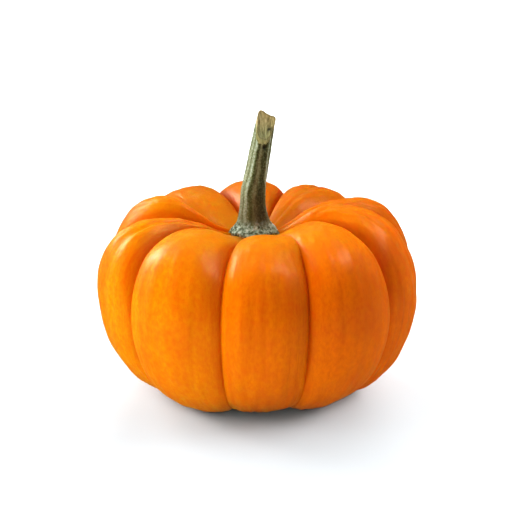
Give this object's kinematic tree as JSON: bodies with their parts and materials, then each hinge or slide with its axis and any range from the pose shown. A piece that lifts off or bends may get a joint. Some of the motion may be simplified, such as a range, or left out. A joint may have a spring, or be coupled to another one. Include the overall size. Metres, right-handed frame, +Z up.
{
  "type": "pumpkin",
  "caption": "Small squat orange pumpkin with deep, unequal ribs and a dry, angular stem that leans and ends in a slanted cut; it rests on the low points of its ribs.",
  "frame": {"origin": "on the surface that the pumpkin rests on, under the middle of the fruit", "axes": "+Z up along the fruit's axis, -Y towards the narrow front rib that the stem's cut face looks over, +X to its right"},
  "size_m": [0.0947, 0.0953, 0.0836],
  "materials": {
    "rind": "semi-gloss waxy skin of a ripe orange pumpkin",
    "stem": "dry, ridged and slightly furry stem, grey-green with brown furrows"
  },
  "bodies": {
    "root": {"fruit": "rind", "stem": "stem"}
  },
  "joints": []
}
